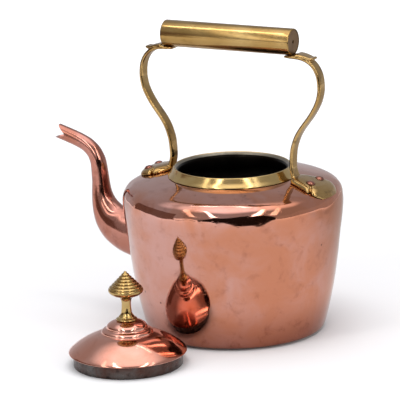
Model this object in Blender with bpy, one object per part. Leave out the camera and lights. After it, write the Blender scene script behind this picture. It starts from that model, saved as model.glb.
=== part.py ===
"""Copper kettle: raised body, swan-neck spout, brass collar and handle, loose lid.

Metres, +Z up. The origin is the centre of the underside of the flat base. The
spout points along -X, and the handle stands in the XZ plane. The lid lies on
the same surface as the kettle, in front of it and a little towards the spout.
"""
import math

import bmesh
import bpy
from mathutils import Matrix, Vector

# Driving dimensions, in metres
GAP = 0.0003            # clearance kept between neighbouring pieces
SHEET = 0.0012          # copper sheet of the body and the base
SEGMENTS = 36           # sides of the large turned pieces

# Body outline, radius and height, from the base edge up to the neck
BODY_OUTLINE = (
    (0.0888, 0.0025), (0.0906, 0.0060), (0.0945, 0.0210), (0.0998, 0.0460),
    (0.1036, 0.0710), (0.1066, 0.0960), (0.1094, 0.1180), (0.1104, 0.1320),
    (0.1097, 0.1405), (0.1066, 0.1463), (0.1005, 0.1500), (0.0930, 0.1523),
    (0.0850, 0.1542), (0.0750, 0.1562), (0.0646, 0.1577), (0.0585, 0.1582),
)
NECK_RADIUS = 0.0567    # outside of the body's upturned neck
NECK_FOOT = 0.1588       # where the neck turns up from the shoulder
NECK_TOP = 0.1613
BASE_FLAT_RADIUS = 0.0800
BASE_RIM_TOP = 0.0060

COLLAR_SKIRT_RADIUS = 0.0646
COLLAR_SKIRT_Z = 0.1581
COLLAR_LIP_RADIUS = 0.0584
COLLAR_LIP_Z = 0.1674
COLLAR_BORE_RADIUS = 0.0540
COLLAR_THROAT_Z = 0.1535
COLLAR_SHEET = 0.0011

# Spout centre line from the mouth to the body: x, z, radius, width over height
SPOUT_LINE = (
    (-0.2004, 0.1861, 0.0074, 1.00), (-0.1938, 0.1839, 0.0074, 1.00),
    (-0.1844, 0.1812, 0.0074, 1.00), (-0.1751, 0.1780, 0.0074, 1.00),
    (-0.1663, 0.1738, 0.0075, 1.00), (-0.1596, 0.1680, 0.0077, 1.00),
    (-0.1559, 0.1616, 0.0080, 1.00), (-0.1539, 0.1550, 0.0083, 0.99),
    (-0.1528, 0.1475, 0.0086, 0.98), (-0.1523, 0.1395, 0.0090, 0.97),
    (-0.1518, 0.1315, 0.0097, 0.95), (-0.1510, 0.1235, 0.0109, 0.93),
    (-0.1492, 0.1155, 0.0128, 0.90), (-0.1460, 0.1077, 0.0154, 0.87),
    (-0.1410, 0.1000, 0.0183, 0.84), (-0.1338, 0.0937, 0.0210, 0.82),
    (-0.1245, 0.0890, 0.0228, 0.80), (-0.1140, 0.0855, 0.0236, 0.80),
    (-0.1000, 0.0830, 0.0240, 0.80),
)
SPOUT_WALL = 0.0011
SPOUT_NOTCH = (-0.1919, 0.1835)         # deepest point of the forked mouth
SPOUT_NOTCH_UP = math.radians(127.0)    # direction of the notch's upper side
SPOUT_NOTCH_LOW = math.radians(191.5)   # direction of its lower side
SPOUT_HOLE = (0.014, 0.017, 0.084)      # half width, half height, centre height

GRIP_RADIUS = 0.0133
GRIP_WALL = 0.0010
GRIP_LENGTH = 0.1420
GRIP_Z = 0.2969
GRIP_CAP = 0.0015
VENT_RADIUS = 0.0010
GRIP_RIVET_X = 0.0662

# Handle bar, from its foot to its end under the grip:
# distance from the middle, height, width, thickness, dish towards the grip
BAR = (
    (0.0699, 0.1592, 0.0150, 0.0046, 0.0000), (0.0693, 0.1625, 0.0140, 0.0042, 0.0000),
    (0.0676, 0.1675, 0.0132, 0.0040, 0.0000), (0.0669, 0.1740, 0.0130, 0.0040, 0.0000),
    (0.0670, 0.1810, 0.0130, 0.0040, 0.0000), (0.0679, 0.1870, 0.0130, 0.0040, 0.0000),
    (0.0696, 0.1940, 0.0130, 0.0040, 0.0000), (0.0726, 0.2020, 0.0130, 0.0040, 0.0000),
    (0.0770, 0.2095, 0.0130, 0.0040, 0.0000), (0.0823, 0.2166, 0.0130, 0.0040, 0.0000),
    (0.0876, 0.2236, 0.0130, 0.0040, 0.0000), (0.0926, 0.2316, 0.0130, 0.0040, 0.0000),
    (0.0963, 0.2392, 0.0130, 0.0040, 0.0000), (0.0984, 0.2470, 0.0130, 0.0040, 0.0000),
    (0.0990, 0.2540, 0.0130, 0.0040, 0.0000), (0.0983, 0.2625, 0.0130, 0.0040, 0.0000),
    (0.0961, 0.2692, 0.0130, 0.0040, 0.0000), (0.0923, 0.2750, 0.0130, 0.0040, 0.0000),
    (0.0870, 0.2793, 0.0135, 0.0042, 0.0004), (0.0810, 0.2820, 0.0150, 0.0044, 0.0014),
    (0.0745, 0.2830, 0.0170, 0.0042, 0.0027), (0.0680, 0.2828, 0.0170, 0.0030, 0.0028),
    (0.0622, 0.2829, 0.0140, 0.0024, 0.0018),
)
# Leaf that runs out from the grip seat over the bar: same five values
LEAF = (
    (0.0745, 0.2848, 0.0165, 0.0034, 0.0024), (0.0790, 0.2844, 0.0158, 0.0032, 0.0016),
    (0.0835, 0.2836, 0.0145, 0.0028, 0.0008), (0.0872, 0.2824, 0.0132, 0.0025, 0.0002),
    (0.0898, 0.2818, 0.0125, 0.0026, 0.0000), (0.0916, 0.2820, 0.0120, 0.0029, 0.0000),
    (0.0927, 0.2823, 0.0108, 0.0018, 0.0000),
)
UPRIGHT_SHIFT = 0.0010  # the two castings stand this far towards +X

# Riveted foot plates of the bars, in plan: half of each edge, on the side of -Y,
# as distance from the middle and width; the two castings aren't alike
LUG_EDGE = {
    "left": (
        (0.0668, 0.0000), (0.0672, 0.0070), (0.0695, 0.0130), (0.0730, 0.0175),
        (0.0765, 0.0208), (0.0792, 0.0225), (0.0814, 0.0172), (0.0836, 0.0228),
        (0.0880, 0.0225), (0.0940, 0.0195), (0.0990, 0.0125), (0.1030, 0.0000),
    ),
    "right": (
        (0.0668, 0.0000), (0.0672, 0.0070), (0.0705, 0.0125), (0.0780, 0.0162),
        (0.0860, 0.0197), (0.0932, 0.0228), (0.0946, 0.0170), (0.0977, 0.0228),
        (0.1020, 0.0212), (0.1055, 0.0168), (0.1082, 0.0105), (0.1095, 0.0000),
    ),
}
LUG_CENTRE = 0.0862
LUG_LOWEST = 0.1450
# share of the plate's width and the height of its top there
LUG_CROWN = ((1.0, 0.0021), (0.93, 0.0031), (0.76, 0.0044), (0.5, 0.0053), (0.25, 0.0056))

RIVET_X = 0.0893
RIVET_Y = 0.0103
RIVET_SHANK = 0.0022
RIVET_HEAD = 0.0043
RIVET_SEAT = 0.0038     # height of the head's seat over the body

LID_X = -0.0385
LID_Y = -0.1560
LID_RIM_RADIUS = 0.0535
LID_RIM_WALL = 0.0009

COPPER = (0.78, 0.42, 0.32)
COPPER_DARK = (0.55, 0.27, 0.20)
BRASS = (0.72, 0.55, 0.28)
TIN = (0.33, 0.31, 0.30)

for old in list(bpy.data.objects):
    bpy.data.objects.remove(old, do_unlink=True)


def metal(name, colour, roughness=0.2):
    """A Principled metal."""
    found = bpy.data.materials.get(name)
    if found:
        return found
    made = bpy.data.materials.new(name)
    made.use_nodes = True
    shader = made.node_tree.nodes["Principled BSDF"]
    shader.inputs["Base Color"].default_value = (*colour, 1.0)
    shader.inputs["Metallic"].default_value = 1.0
    shader.inputs["Roughness"].default_value = roughness
    return made


def add_piece(name, bm, material, parent=None, sharp=35.0):
    """Turn a bmesh into a smooth-shaded object with its faces pointing out."""
    bmesh.ops.remove_doubles(bm, verts=bm.verts, dist=1e-7)
    bmesh.ops.recalc_face_normals(bm, faces=bm.faces)
    mesh = bpy.data.meshes.new(name)
    bm.to_mesh(mesh)
    bm.free()
    mesh.shade_smooth()
    mesh.set_sharp_from_angle(angle=math.radians(sharp))
    piece = bpy.data.objects.new(name, mesh)
    bpy.context.collection.objects.link(piece)
    if material:
        mesh.materials.append(material)
    if parent:
        piece.parent = parent
    return piece


def through(points, steps):
    """Points on a smooth curve (Catmull-Rom) through the given points."""
    ends = [points[0]] + list(points) + [points[-1]]
    line = []
    for a, b, c, d in zip(ends, ends[1:], ends[2:], ends[3:]):
        for step in range(steps):
            t = step / steps
            line.append(tuple(
                0.5 * (2 * q + (r - p) * t + (2 * p - 5 * q + 4 * r - s) * t * t
                       + (3 * q - p - 3 * r + s) * t ** 3)
                for p, q, r, s in zip(a, b, c, d)))
    line.append(tuple(points[-1]))
    return line


def shifted(line, distance):
    """The line moved sideways by distance, to the left of its direction."""
    moved = []
    for i, (r, z) in enumerate(line):
        before = line[max(i - 1, 0)]
        after = line[min(i + 1, len(line) - 1)]
        along = Vector((after[0] - before[0], after[1] - before[1])).normalized()
        moved.append((r - along.y * distance, z + along.x * distance))
    return moved


def turned(profile, segments=SEGMENTS, closed=True):
    """A bmesh of the profile, radius and height, spun round the Z axis.

    It starts half a step round, so that no corner lies in the plane y = 0.
    """
    bm = bmesh.new()
    start = math.pi / segments
    verts = [bm.verts.new((r * math.cos(start), r * math.sin(start), z))
             for r, z in profile]
    edges = [bm.edges.new(pair) for pair in zip(verts, verts[1:])]
    if closed:
        edges.append(bm.edges.new((verts[-1], verts[0])))
    bmesh.ops.spin(bm, geom=verts + edges, cent=(0, 0, 0), axis=(0, 0, 1),
                   angle=2 * math.pi, steps=segments, use_merge=True)
    bmesh.ops.remove_doubles(bm, verts=bm.verts, dist=1e-6)
    return bm


def loft(rings, closed_ends=True):
    """A bmesh skin over rings of points, each ring with as many points."""
    bm = bmesh.new()
    loops = [[bm.verts.new(p) for p in ring] for ring in rings]
    count = len(rings[0])
    for low, high in zip(loops, loops[1:]):
        for i in range(count):
            j = (i + 1) % count
            bm.faces.new((low[i], low[j], high[j], high[i]))
    if closed_ends:
        bm.faces.new(list(reversed(loops[0])))
        bm.faces.new(loops[-1])
    else:
        for i in range(count):
            j = (i + 1) % count
            bm.faces.new((loops[-1][i], loops[-1][j], loops[0][j], loops[0][i]))
    return bm


def cut(piece, cutter, operation="DIFFERENCE"):
    """Apply a Boolean with the cutter, then remove the cutter."""
    step = piece.modifiers.new(operation.lower(), "BOOLEAN")
    step.operation = operation
    step.solver = "EXACT"
    step.object = cutter
    bpy.context.view_layer.update()
    graph = bpy.context.evaluated_depsgraph_get()
    result = bpy.data.meshes.new_from_object(piece.evaluated_get(graph))
    piece.modifiers.clear()
    piece.data = result
    bpy.data.objects.remove(cutter, do_unlink=True)
    result.shade_smooth()
    result.set_sharp_from_angle(angle=math.radians(35.0))


def rod(radius, low, high, matrix=None, segments=20):
    """A cylinder along Z from low to high, then moved by matrix."""
    bm = turned([(0, low), (radius, low), (radius, high), (0, high)],
                segments, closed=False)
    if matrix:
        bmesh.ops.transform(bm, matrix=matrix, verts=bm.verts)
    return bm


def shoulder(radius):
    """Height of the body's outer surface at a radius, on its upper part."""
    line = [p for p in BODY_LINE if p[1] > 0.131]
    for (r0, z0), (r1, z1) in zip(line, line[1:]):
        if min(r0, r1) <= radius <= max(r0, r1):
            return z0 + (z1 - z0) * (radius - r0) / (r1 - r0)
    return line[0][1] if radius > line[0][0] else line[-1][1]


copper = metal("copper", COPPER)
dark_copper = metal("copper_dark", COPPER_DARK, 0.35)
brass = metal("brass", BRASS)
tin = metal("tinned_copper", TIN, 0.45)

# Body: raised sheet with an upturned neck; its lower edge laps over the base
BODY_LINE = list(BODY_OUTLINE)
outer = BODY_LINE + [(NECK_RADIUS, NECK_FOOT), (NECK_RADIUS, NECK_TOP)]
inner = shifted(outer, SHEET)
inner[-1] = (NECK_RADIUS - SHEET, NECK_TOP)
inner[-2] = (NECK_RADIUS - SHEET, NECK_FOOT - SHEET)
body = add_piece("body_shell", turned(outer + inner[::-1]), copper)

# Base: flat disc whose rim turns up inside the body's lower edge
rim = [(r - SHEET - GAP, z) for r, z in BODY_LINE if z < BASE_RIM_TOP + 1e-6]
pan = [(0, 0), (BASE_FLAT_RADIUS, 0), (BASE_FLAT_RADIUS + 0.0020, 0.0003),
       (BASE_FLAT_RADIUS + 0.0050, 0.0010)] + rim
pan_inner = [(r - SHEET, z) for r, z in reversed(rim)]
pan_inner += [(BASE_FLAT_RADIUS + 0.0043, 0.0021), (BASE_FLAT_RADIUS + 0.0015, 0.0014),
              (BASE_FLAT_RADIUS, SHEET), (0, SHEET)]
add_piece("base_plate", turned(pan + pan_inner, closed=False), copper)

# Collar: flared skirt, rounded lip, funnel and throat, of one brass sheet
bore, sheet = COLLAR_BORE_RADIUS, COLLAR_SHEET
add_piece("collar", turned([
    (COLLAR_SKIRT_RADIUS, COLLAR_SKIRT_Z),
    (COLLAR_SKIRT_RADIUS - 0.0010, COLLAR_SKIRT_Z + 0.0012),
    (COLLAR_LIP_RADIUS + 0.0008, COLLAR_LIP_Z - 0.0012),
    (COLLAR_LIP_RADIUS + 0.0004, COLLAR_LIP_Z - 0.0003),
    (COLLAR_LIP_RADIUS - 0.0004, COLLAR_LIP_Z),
    (COLLAR_LIP_RADIUS - 0.0012, COLLAR_LIP_Z - 0.0003),
    (bore + 0.0003, COLLAR_LIP_Z - 0.0040),
    (bore, COLLAR_LIP_Z - 0.0048),
    (bore, COLLAR_THROAT_Z),
    (bore + sheet, COLLAR_THROAT_Z),
    (bore + sheet, COLLAR_LIP_Z - 0.0052),
    (COLLAR_LIP_RADIUS - 0.0006, COLLAR_LIP_Z - 0.0019),
    (COLLAR_SKIRT_RADIUS - sheet - 0.0008, COLLAR_SKIRT_Z + 0.0012),
    (COLLAR_SKIRT_RADIUS - sheet, COLLAR_SKIRT_Z),
]), brass)

# Spout: tapering swan-neck tube, forked at the mouth, flared to the body
line = through(SPOUT_LINE, 1)


def spout_rings(shrink):
    """Rings of the spout's skin, shrunk by its wall for the bore."""
    rings = []
    for i, (x, z, radius, ratio) in enumerate(line):
        before = line[max(i - 1, 0)]
        after = line[min(i + 1, len(line) - 1)]
        along = Vector((after[0] - before[0], 0, after[1] - before[1])).normalized()
        up = Vector((-along.z, 0, along.x))
        ring = []
        for k in range(20):
            turn = 2 * math.pi * k / 20
            ring.append(Vector((x, 0, z)) + up * (radius - shrink) * math.sin(turn)
                        + Vector((0, (radius * ratio - shrink) * math.cos(turn), 0)))
        rings.append(ring)
    return rings


skin = spout_rings(0.0)
bore_rings = spout_rings(SPOUT_WALL)
spout = add_piece("spout", loft(skin + bore_rings[::-1], closed_ends=False), copper)
apex = Vector((SPOUT_NOTCH[0], 0, SPOUT_NOTCH[1]))
reach = 0.04
fork = [apex]
for turn in (SPOUT_NOTCH_UP, SPOUT_NOTCH_LOW):
    fork.append(apex + reach * Vector((math.cos(turn), 0, math.sin(turn))))
wedge = loft([[p + Vector((0, y, 0)) for p in fork] for y in (-0.02, 0.02)])
cut(spout, add_piece("spout_fork_cutter", wedge, None))
stand = [(r + GAP, z) for r, z in BODY_LINE]
core = [(0, 0.03)] + [p for p in stand if 0.03 < p[1] < 0.13] + [(0, 0.13)]
cut(spout, add_piece("spout_seat_cutter", turned(core, closed=False), None))

# The body's hole behind the spout
half_width, half_height, hole_z = SPOUT_HOLE
oval = [[Vector((x, half_width * math.cos(2 * math.pi * k / 20),
                 hole_z + half_height * math.sin(2 * math.pi * k / 20)))
         for k in range(20)] for x in (-0.125, -0.085)]
cut(body, add_piece("spout_hole_cutter", loft(oval), None))


def bar_rings(stations, side):
    """Flat bar sections with eased edges along the stations."""
    rings = []
    for i, (x, z, width, thick, dish) in enumerate(stations):
        before = stations[max(i - 1, 0)]
        after = stations[min(i + 1, len(stations) - 1)]
        along = Vector((after[0] - before[0], 0, after[1] - before[1])).normalized()
        away = Vector((-along.z, 0, along.x))
        half, ease = width / 2, min(0.0011, thick * 0.3)
        edge = thick / 2
        section = [(-half, edge - ease), (-half + ease, edge), (0, edge),
                   (half - ease, edge), (half, edge - ease), (half, ease - edge),
                   (half - ease, -edge), (0, -edge), (-half + ease, -edge),
                   (-half, ease - edge)]
        ring = []
        for across, out in section:
            out -= dish * (across / half) ** 2
            spot = Vector((x, across, z)) + away * out
            ring.append(Vector((spot.x * side + UPRIGHT_SHIFT, spot.y, spot.z)))
        rings.append(ring)
    return rings


def lug(side, half):
    """Crowned foot plate that follows the body's shoulder."""
    edge = [(x, -y) for x, y in half] + list(reversed(half[1:-1]))

    def ring(share, height):
        points = []
        for x, y in edge:
            px = (LUG_CENTRE + (x - LUG_CENTRE) * share) * side + UPRIGHT_SHIFT
            py = y * share
            level = max(shoulder(math.hypot(px, py)) + GAP + height, LUG_LOWEST)
            points.append(Vector((px, py, level)))
        return points

    tops = [ring(share, height) for share, height in LUG_CROWN]
    flat = [Vector((p.x, p.y, LUG_LOWEST)) for p in tops[0]]
    return loft([flat] + tops)


def rivet_place(side, row):
    """Matrix of a foot plate rivet, its Z axis square to the shoulder."""
    radius = math.hypot(RIVET_X, RIVET_Y)
    slope = (shoulder(radius + 0.002) - shoulder(radius - 0.002)) / 0.004
    spot = Vector((RIVET_X * side + UPRIGHT_SHIFT, RIVET_Y * row, shoulder(radius)))
    lean = Matrix.Rotation(-math.atan(slope) * side, 4, "Y")
    return Matrix.Translation(spot) @ lean


grip_turn = Matrix.Translation((0, 0, GRIP_Z)) @ Matrix.Rotation(math.pi / 2, 4, "Y")
half_grip = GRIP_LENGTH / 2

# Grip: brass tube with eased ends, drilled for one rivet at each end
tube = add_piece("grip_tube", turned([
    (GRIP_RADIUS, half_grip - 0.0012), (GRIP_RADIUS - 0.0003, half_grip - 0.0004),
    (GRIP_RADIUS - 0.0006, half_grip), (GRIP_RADIUS - GRIP_WALL, half_grip),
    (GRIP_RADIUS - GRIP_WALL, -half_grip), (GRIP_RADIUS - 0.0006, -half_grip),
    (GRIP_RADIUS - 0.0003, 0.0004 - half_grip), (GRIP_RADIUS, 0.0012 - half_grip),
], 32), brass)
tube.data.transform(grip_turn)

for side, word in ((-1, "left"), (1, "right")):
    # One casting: bar, grip seat with its leaf, and foot plate
    casting = add_piece(f"handle_upright_{word}", loft(bar_rings(BAR, side)), brass)
    leaf = add_piece("leaf_cutter", loft(bar_rings(LEAF[::-1], side)), None)
    cut(casting, leaf, "UNION")
    plate = add_piece("lug_cutter", lug(side, LUG_EDGE[word]), None)
    room = [(0, 0.12)] + shifted(BODY_LINE, -GAP * 1.3)[7:] + [(0, 0.1585)]
    cut(plate, add_piece("shoulder_cutter", turned(room, closed=False), None))
    cut(casting, plate, "UNION")
    reach = half_grip + GAP
    cut(casting, add_piece("grip_seat_cutter", rod(
        GRIP_RADIUS + GAP, -reach, reach, grip_turn, 32), None))

    # Rivet under the grip: domed head on the seat, closed inside the tube
    spot = Matrix.Translation((GRIP_RIVET_X * side, 0, 0))
    low = GRIP_Z - GRIP_RADIUS - 0.0019
    cut(casting, add_piece("seat_cutter", rod(0.0019, low - 0.01, low + 0.01, spot), None))
    cut(casting, add_piece("face_cutter", rod(0.0036, low - 0.01, low, spot), None))
    cut(tube, add_piece("tube_cutter", rod(0.0019, low, low + 0.008, spot), None))
    top = GRIP_Z - GRIP_RADIUS + GRIP_WALL + 2 * GAP
    add_piece(f"grip_rivet_{word}", turned([
        (0, low - 0.0014), (0.0018, low - 0.0012), (0.0030, low - 0.0007),
        (0.0033, low - GAP), (0.0016, low - GAP), (0.0016, top), (0.0025, top),
        (0.0021, top + 0.0008), (0, top + 0.0011)], 12, closed=False), dark_copper
    ).data.transform(spot)

    # End cap, set just inside the tube, with a small vent
    cap_radius = GRIP_RADIUS - GRIP_WALL - GAP
    outside = half_grip - 0.0004
    cap = add_piece(f"grip_cap_{word}", turned([
        (VENT_RADIUS, outside), (cap_radius - 0.0003, outside),
        (cap_radius, outside - 0.0003), (cap_radius, outside - GRIP_CAP),
        (VENT_RADIUS, outside - GRIP_CAP)], 32), brass)
    if side < 0:
        cap.data.transform(Matrix.Rotation(math.pi, 4, "X"))
    cap.data.transform(grip_turn)

    # Two copper rivets hold each foot plate, closed over washers inside
    for row, place in ((-1, "front"), (1, "rear")):
        matrix = rivet_place(side, row)
        inside = -SHEET - 0.0006
        cut(casting, add_piece("rivet_cutter", rod(
            RIVET_SHANK + GAP, -0.004, 0.012, matrix), None))
        cut(casting, add_piece("spot_cutter", rod(
            RIVET_HEAD + 0.0004, RIVET_SEAT, 0.012, matrix, 24), None))
        cut(body, add_piece("shell_cutter", rod(
            RIVET_SHANK + GAP, -0.006, 0.006, matrix), None))
        head = RIVET_SEAT + GAP
        closed = inside - 0.0010 - GAP
        rivet = add_piece(f"lug_rivet_{word}_{place}", turned([
            (0, head + 0.0026), (0.0016, head + 0.0024), (0.0031, head + 0.0016),
            (0.0040, head + 0.0006), (RIVET_HEAD, head), (RIVET_SHANK, head),
            (RIVET_SHANK, closed), (0.0036, closed), (0.0032, closed - 0.0010),
            (0.0016, closed - 0.0015), (0, closed - 0.0016)], 12, closed=False),
            dark_copper)
        rivet.data.transform(matrix)
        washer = add_piece(f"lug_washer_{word}_{place}", turned([
            (RIVET_SHANK + GAP, inside), (0.0052, inside), (0.0052, inside - 0.0010),
            (RIVET_SHANK + GAP, inside - 0.0010)], 12), dark_copper)
        washer.data.transform(matrix)

# Lid: everything on it lifts together, along the lid's own axis
lid_axis = bpy.data.objects.new("lid_axis", None)
lid_axis.location = (LID_X, LID_Y, 0)
bpy.context.collection.objects.link(lid_axis)

dome_out = [
    (0.0570, 0.0126), (0.0576, 0.0133), (0.0557, 0.0160), (0.0520, 0.0190),
    (0.0460, 0.0231), (0.0380, 0.0274), (0.0310, 0.0303), (0.0263, 0.0317),
    (0.0249, 0.0324), (0.0248, 0.0339), (0.0234, 0.0354), (0.0212, 0.0362),
    (0.0198, 0.0372), (0.0196, 0.0388), (0.0185, 0.0404), (0.0155, 0.0424),
    (0.0120, 0.0437), (0.0029, 0.0443)]
dome_in = [
    (0.0029, 0.0432), (0.0115, 0.0425), (0.0148, 0.0412), (0.0174, 0.0393),
    (0.0184, 0.0370), (0.0204, 0.0351), (0.0230, 0.0336), (0.0238, 0.0314),
    (0.0300, 0.0292), (0.0370, 0.0263), (0.0450, 0.0221), (0.0510, 0.0180),
    (0.0546, 0.0150), (0.0560, 0.0128)]
add_piece("lid_dome", turned(dome_out + dome_in), copper, lid_axis)

ring_in = LID_RIM_RADIUS - LID_RIM_WALL
add_piece("lid_rim", turned([
    (ring_in, 0), (LID_RIM_RADIUS, 0), (LID_RIM_RADIUS, 0.0150),
    (ring_in, 0.0158)]), tin, lid_axis)

# Knob: cast stem with a ridged cone, its shank closed over a washer
knob = [
    (0, 0.0402), (0.0034, 0.0404), (0.0044, 0.0409), (0.0044, 0.0414),
    (0.0026, 0.0414), (0.0026, 0.0446), (0.0101, 0.0446), (0.0102, 0.0455),
    (0.0092, 0.0465), (0.0077, 0.0470), (0.0078, 0.0480), (0.0064, 0.0494),
    (0.0055, 0.0518), (0.0056, 0.0550), (0.0052, 0.0584), (0.0048, 0.0622),
    (0.0052, 0.0652), (0.0068, 0.0674), (0.0100, 0.0686), (0.0145, 0.0706),
    (0.0168, 0.0730), (0.0171, 0.0752)]
RIDGES = 6
CONE_TOP, CONE_LOW = 0.0921, 0.0758
for ridge in range(RIDGES):
    start = ridge / RIDGES
    step = (CONE_TOP - CONE_LOW) / RIDGES
    z = CONE_LOW + start * (CONE_TOP - CONE_LOW)
    r = 0.0163 * (1 - start) + 0.0014 * start
    knob += [(r, z), (r - 0.0004, z + 0.5 * step), (r - 0.0019, z + 0.8 * step)]
knob += [(0.0016, CONE_TOP), (0.0013, CONE_TOP + 0.0012), (0, CONE_TOP + 0.0018)]
add_piece("lid_knob", turned(knob, 20, closed=False), brass, lid_axis, 50.0)

add_piece("lid_washer", turned([
    (0.0029, 0.0428), (0.0070, 0.0428), (0.0070, 0.0418), (0.0029, 0.0418)], 16),
    brass, lid_axis)
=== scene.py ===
"""A polished copper kettle with brass fittings, and its loose lid beside it.

Metres, +Z up. The kettle stands on the origin, its spout points along -X and its
handle stands in the plane y = 0. Pieces follow in the order they are put together.
"""
import math

import bmesh
import bpy
from mathutils import Matrix, Vector, noise


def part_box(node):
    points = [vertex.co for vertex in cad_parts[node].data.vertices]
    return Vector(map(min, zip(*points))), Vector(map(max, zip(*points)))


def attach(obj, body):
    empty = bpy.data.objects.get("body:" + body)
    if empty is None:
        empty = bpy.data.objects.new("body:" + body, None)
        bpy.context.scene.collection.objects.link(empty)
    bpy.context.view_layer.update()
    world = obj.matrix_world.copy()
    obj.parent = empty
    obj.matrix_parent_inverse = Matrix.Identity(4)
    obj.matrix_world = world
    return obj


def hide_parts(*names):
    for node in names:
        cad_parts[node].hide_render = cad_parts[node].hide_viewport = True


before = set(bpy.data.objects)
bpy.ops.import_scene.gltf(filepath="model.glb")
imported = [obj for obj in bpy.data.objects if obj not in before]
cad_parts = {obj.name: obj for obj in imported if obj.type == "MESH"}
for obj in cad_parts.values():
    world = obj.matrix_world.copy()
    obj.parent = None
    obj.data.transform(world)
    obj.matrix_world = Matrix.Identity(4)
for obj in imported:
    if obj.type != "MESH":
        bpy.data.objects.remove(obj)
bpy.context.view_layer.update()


# --- Studio -------------------------------------------------------------------
# A pale seamless floor and soft light from all round. Flags and strip lights stand round
# the kettle only to be reflected: polished metal shows nothing else. The softboxes are
# hidden from reflections and so light only the floor.

FLOOR_SIDE = 60.0
FLAG_AWAY = 1.5             # distance of the front flags
STRIP_AWAY, STRIP_BASE = 1.45, 0.14     # distance of the strip lights, and their lowest
MIDDLE = Vector((0, 0, 0.12))           # what the soft lights are aimed at
CAMERA_PLACE = Vector((1.34592, -2.58493, 0.86778))
CAMERA_RIGHT = Vector((0.884586, 0.465558, -0.027648))
CAMERA_UP = Vector((-0.090358, 0.229242, 0.969167))
CAMERA_LENS = 270.0


def colour(code):
    """Linear colour of an sRGB hex code, as a node socket takes it."""
    channels = [int(code[i:i + 2], 16) / 255 for i in (0, 2, 4)]
    return [c / 12.92 if c <= 0.04045 else ((c + 0.055) / 1.055) ** 2.4
            for c in channels] + [1.0]


def add(tree, kind, settings=None, inputs=None):
    """Add a node to a tree; inputs are values, or sockets to link from."""
    made = tree.nodes.new(kind)
    for key, value in (settings or {}).items():
        setattr(made, key, value)
    for key, value in (inputs or {}).items():
        if isinstance(value, bpy.types.NodeSocket):
            tree.links.new(value, made.inputs[key])
        else:
            made.inputs[key].default_value = value
    return made


def blank_material(name):
    """A new material whose tree holds only its output; returns both."""
    material = bpy.data.materials.new(name)
    material.use_nodes = True
    material.node_tree.nodes.clear()
    return material, material.node_tree


def painted_paper():
    """Matt white background paper, which glows more the farther it is from the kettle."""
    material, tree = blank_material("background_paper")
    matt = add(tree, "ShaderNodeBsdfDiffuse", inputs={"Color": colour("F2F2F1")})
    spot = add(tree, "ShaderNodeTexCoord").outputs["Object"]
    away = add(tree, "ShaderNodeVectorMath", {"operation": "LENGTH"}, {0: spot})
    light = add(tree, "ShaderNodeMapRange", inputs={
        "Value": away.outputs["Value"], "From Min": 0.4, "From Max": 2.0,
        "To Min": 0.02, "To Max": 0.55})
    lift = add(tree, "ShaderNodeEmission", inputs={
        "Color": colour("FFFFFF"), "Strength": light.outputs[0]})
    both = add(tree, "ShaderNodeAddShader", inputs={
        0: matt.outputs[0], 1: lift.outputs[0]})
    add(tree, "ShaderNodeOutputMaterial", inputs={"Surface": both.outputs[0]})
    return material


def flag_cloth(name, code, strength=1.0, soft=False):
    """Cloth of a studio flag, glowing evenly in its own tone though no lamp lights it: painted
    light in place of the light it would reflect; a soft one fades at its edges.
    """
    material, tree = blank_material(name)
    even = add(tree, "ShaderNodeEmission", inputs={"Color": colour(code), "Strength": strength})
    if soft:
        across = add(tree, "ShaderNodeSeparateXYZ", inputs={
            "Vector": add(tree, "ShaderNodeTexCoord").outputs["Generated"]})
        share = 1.0
        for axis in "XY":
            other = add(tree, "ShaderNodeMath", {"operation": "SUBTRACT"}, {
                0: 1.0, 1: across.outputs[axis]})
            hill = add(tree, "ShaderNodeMath", {"operation": "MULTIPLY"}, {
                0: across.outputs[axis], 1: other.outputs[0]})
            rise = add(tree, "ShaderNodeMapRange", {"interpolation_type": "SMOOTHSTEP"}, {
                "Value": hill.outputs[0], "From Max": 0.22})
            share = add(tree, "ShaderNodeMath", {"operation": "MULTIPLY"}, {
                0: rise.outputs[0], 1: share}).outputs[0]
        even = add(tree, "ShaderNodeMixShader", inputs={
            0: share, 1: add(tree, "ShaderNodeBsdfTransparent").outputs[0], 2: even.outputs[0]})
    add(tree, "ShaderNodeOutputMaterial", inputs={"Surface": even.outputs[0]})
    return material


def placed(name, data):
    """A new object of the scene, made of a mesh, a light or a camera."""
    made = bpy.data.objects.new(name, data)
    bpy.context.collection.objects.link(made)
    return made


def card(name, corners, material, reflected_only=True):
    """A flat four-cornered sheet of the studio."""
    mesh = bpy.data.meshes.new(name)
    mesh.from_pydata(corners, [], [(0, 1, 2, 3)])
    mesh.materials.append(material)
    sheet = placed(name, mesh)
    if reflected_only:
        sheet.visible_camera = sheet.visible_diffuse = sheet.visible_shadow = False


half = FLOOR_SIDE / 2
floor_z = min(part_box("base_plate")[0].z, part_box("lid_rim")[0].z) - 0.0002
card("floor", [(-half, -half, floor_z), (half, -half, floor_z),
               (half, half, floor_z), (-half, half, floor_z)], painted_paper(), False)


def around(bearing, distance, height):
    """A point at a bearing in degrees: 0 is towards the camera, 90 to its right."""
    facing = math.atan2(CAMERA_PLACE.y, CAMERA_PLACE.x) + math.radians(bearing)
    return Vector((distance * math.cos(facing), distance * math.sin(facing), height))


def flag(name, cloth, bearings, distances, heights):
    """A flag between two bearings; a lying one has two distances and one height."""
    start, stop = bearings
    near, far = distances
    low, high = heights
    card(name, [around(start, near, low), around(stop, near, low),
                around(stop, far, high), around(start, far, high)], cloth)


def strip(name, glow, bearings, rises, width):
    """A slanted strip light from one bearing and rise to another, in degrees."""
    corners = []
    for bearing, rise, way in ((0, 0, -1), (0, 0, 1), (1, 1, 1), (1, 1, -1)):
        up = math.radians(rises[rise])
        corners.append(around(bearings[bearing] + way * width / 2, STRIP_AWAY * math.cos(up),
                              STRIP_BASE + STRIP_AWAY * math.sin(up)))
    card(name, corners, glow)


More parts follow.
